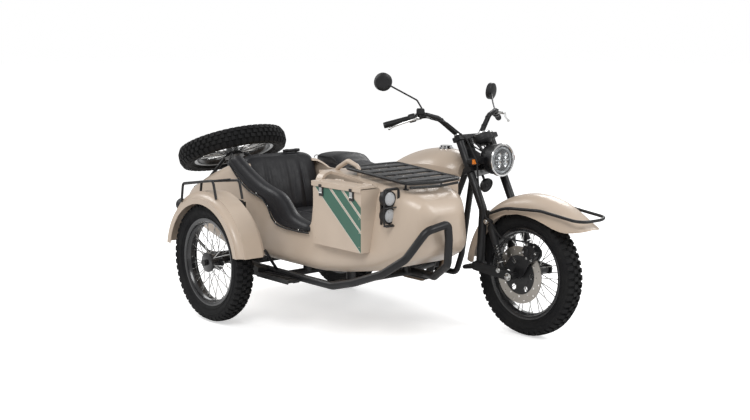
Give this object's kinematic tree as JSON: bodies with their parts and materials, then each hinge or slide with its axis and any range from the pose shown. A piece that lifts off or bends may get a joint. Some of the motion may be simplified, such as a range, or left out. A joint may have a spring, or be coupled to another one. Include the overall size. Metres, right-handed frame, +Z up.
{
  "type": "sidecar motorcycle",
  "caption": "Retro motorcycle with a one-seat sidecar: steering fork, three rolling wire wheels, two side boxes, nose rack and a luggage lid that carries the spare wheel.",
  "frame": {"origin": "on the ground under the middle of the whole vehicle's box", "axes": "+X forward, +Y to the rider's left, +Z up"},
  "size_m": [2.6644, 1.644, 1.3594],
  "materials": {
    "beige_paint": "satin sand-beige paint",
    "black_frame": "satin black powder coat",
    "tyre_rubber": "matt tread rubber",
    "wheel_black": "gloss black rim and hub with bright spokes",
    "disc_steel": "ground brake disc",
    "engine_metal": "black finned casting",
    "exhaust_metal": "heat-browned steel",
    "chain_steel": "oiled steel",
    "bright_metal": "bright plated metal",
    "black_plastic": "black moulded plastic",
    "rubber_black": "black rubber",
    "clear_lens": "clear lamp glass",
    "black_vinyl": "black grained vinyl"
  },
  "bodies": {
    "chassis": {"main_frame": "black_frame", "crankcase": "engine_metal", "engine_cylinder": "engine_metal", "air_box": "black_plastic", "exhaust": "exhaust_metal", "fuel_tank": "beige_paint", "fuel_cap": "bright_metal", "rider_saddle": "black_vinyl", "side_panels": "beige_paint", "rear_fender": "beige_paint", "tail_lamps": "black_plastic", "rear_swingarm": "black_frame", "suspension_struts": "black_frame", "drive_chain": "chain_steel", "foot_controls": "black_frame", "sidecar_frame": "black_frame", "sidecar_arm": "black_frame", "sidecar_tub": "beige_paint", "cockpit_trim": "rubber_black", "sidecar_seat": "black_vinyl", "sidecar_backrest": "black_vinyl", "sidecar_fender": "beige_paint", "fender_rail": "black_frame", "footboard": "black_frame", "nose_rack": "black_frame", "grab_handle": "beige_paint", "fog_lamps": "black_plastic", "outer_box": "beige_paint", "inner_box": "beige_paint"},
    "steering": {"fork": "black_frame", "fork_link": "black_frame", "front_struts": "black_frame", "front_fender": "beige_paint", "fender_bar": "black_frame", "brake_caliper": "black_frame", "handlebar": "black_frame", "grips": "rubber_black", "hand_levers": "bright_metal", "mirrors": "black_frame", "headlight": "black_frame", "headlight_lens": "clear_lens", "instrument": "black_plastic", "indicators": "black_plastic", "brake_hose": "rubber_black"},
    "front_wheel": {"front_tyre": "tyre_rubber", "front_rim": "wheel_black", "front_disc": "disc_steel"},
    "rear_wheel": {"rear_tyre": "tyre_rubber", "rear_rim": "wheel_black"},
    "sidecar_wheel": {"sidecar_tyre": "tyre_rubber", "sidecar_rim": "wheel_black"},
    "outer_lid": {"outer_box_lid": "beige_paint"},
    "inner_lid": {"inner_box_lid": "beige_paint"},
    "luggage_lid": {"trunk_lid": "beige_paint", "spare_carrier": "black_frame", "spare_tyre": "tyre_rubber", "spare_rim": "wheel_black"}
  },
  "joints": [
    {"name": "steer", "type": "hinge", "parent": "chassis", "child": "steering", "pos_m": [0.45615, 0.34297, 0.94], "axis": [-0.454, 0, 0.891], "range_deg": [-35, 35]},
    {"name": "front_wheel_roll", "type": "hinge", "parent": "steering", "child": "front_wheel", "pos_m": [0.89815, 0.34297, 0.33], "axis": [0, 1, 0], "continuous": true},
    {"name": "rear_wheel_roll", "type": "hinge", "parent": "chassis", "child": "rear_wheel", "pos_m": [-0.65385, 0.34297, 0.33], "axis": [0, 1, 0], "continuous": true},
    {"name": "sidecar_wheel_roll", "type": "hinge", "parent": "chassis", "child": "sidecar_wheel", "pos_m": [-0.43185, -0.74003, 0.33], "axis": [0, 1, 0], "continuous": true},
    {"name": "outer_box_open", "type": "hinge", "parent": "chassis", "child": "outer_lid", "pos_m": [0.41465, -0.44003, 0.823], "axis": [-1, 0, 0], "range_deg": [0, 95]},
    {"name": "inner_box_open", "type": "hinge", "parent": "chassis", "child": "inner_lid", "pos_m": [0.41465, -0.00403, 0.823], "axis": [1, 0, 0], "range_deg": [0, 95]},
    {"name": "luggage_lid_open", "type": "hinge", "parent": "chassis", "child": "luggage_lid", "pos_m": [-1.22817, -0.22203, 0.62647], "axis": [0, -1, 0], "range_deg": [0, 70]}
  ]
}
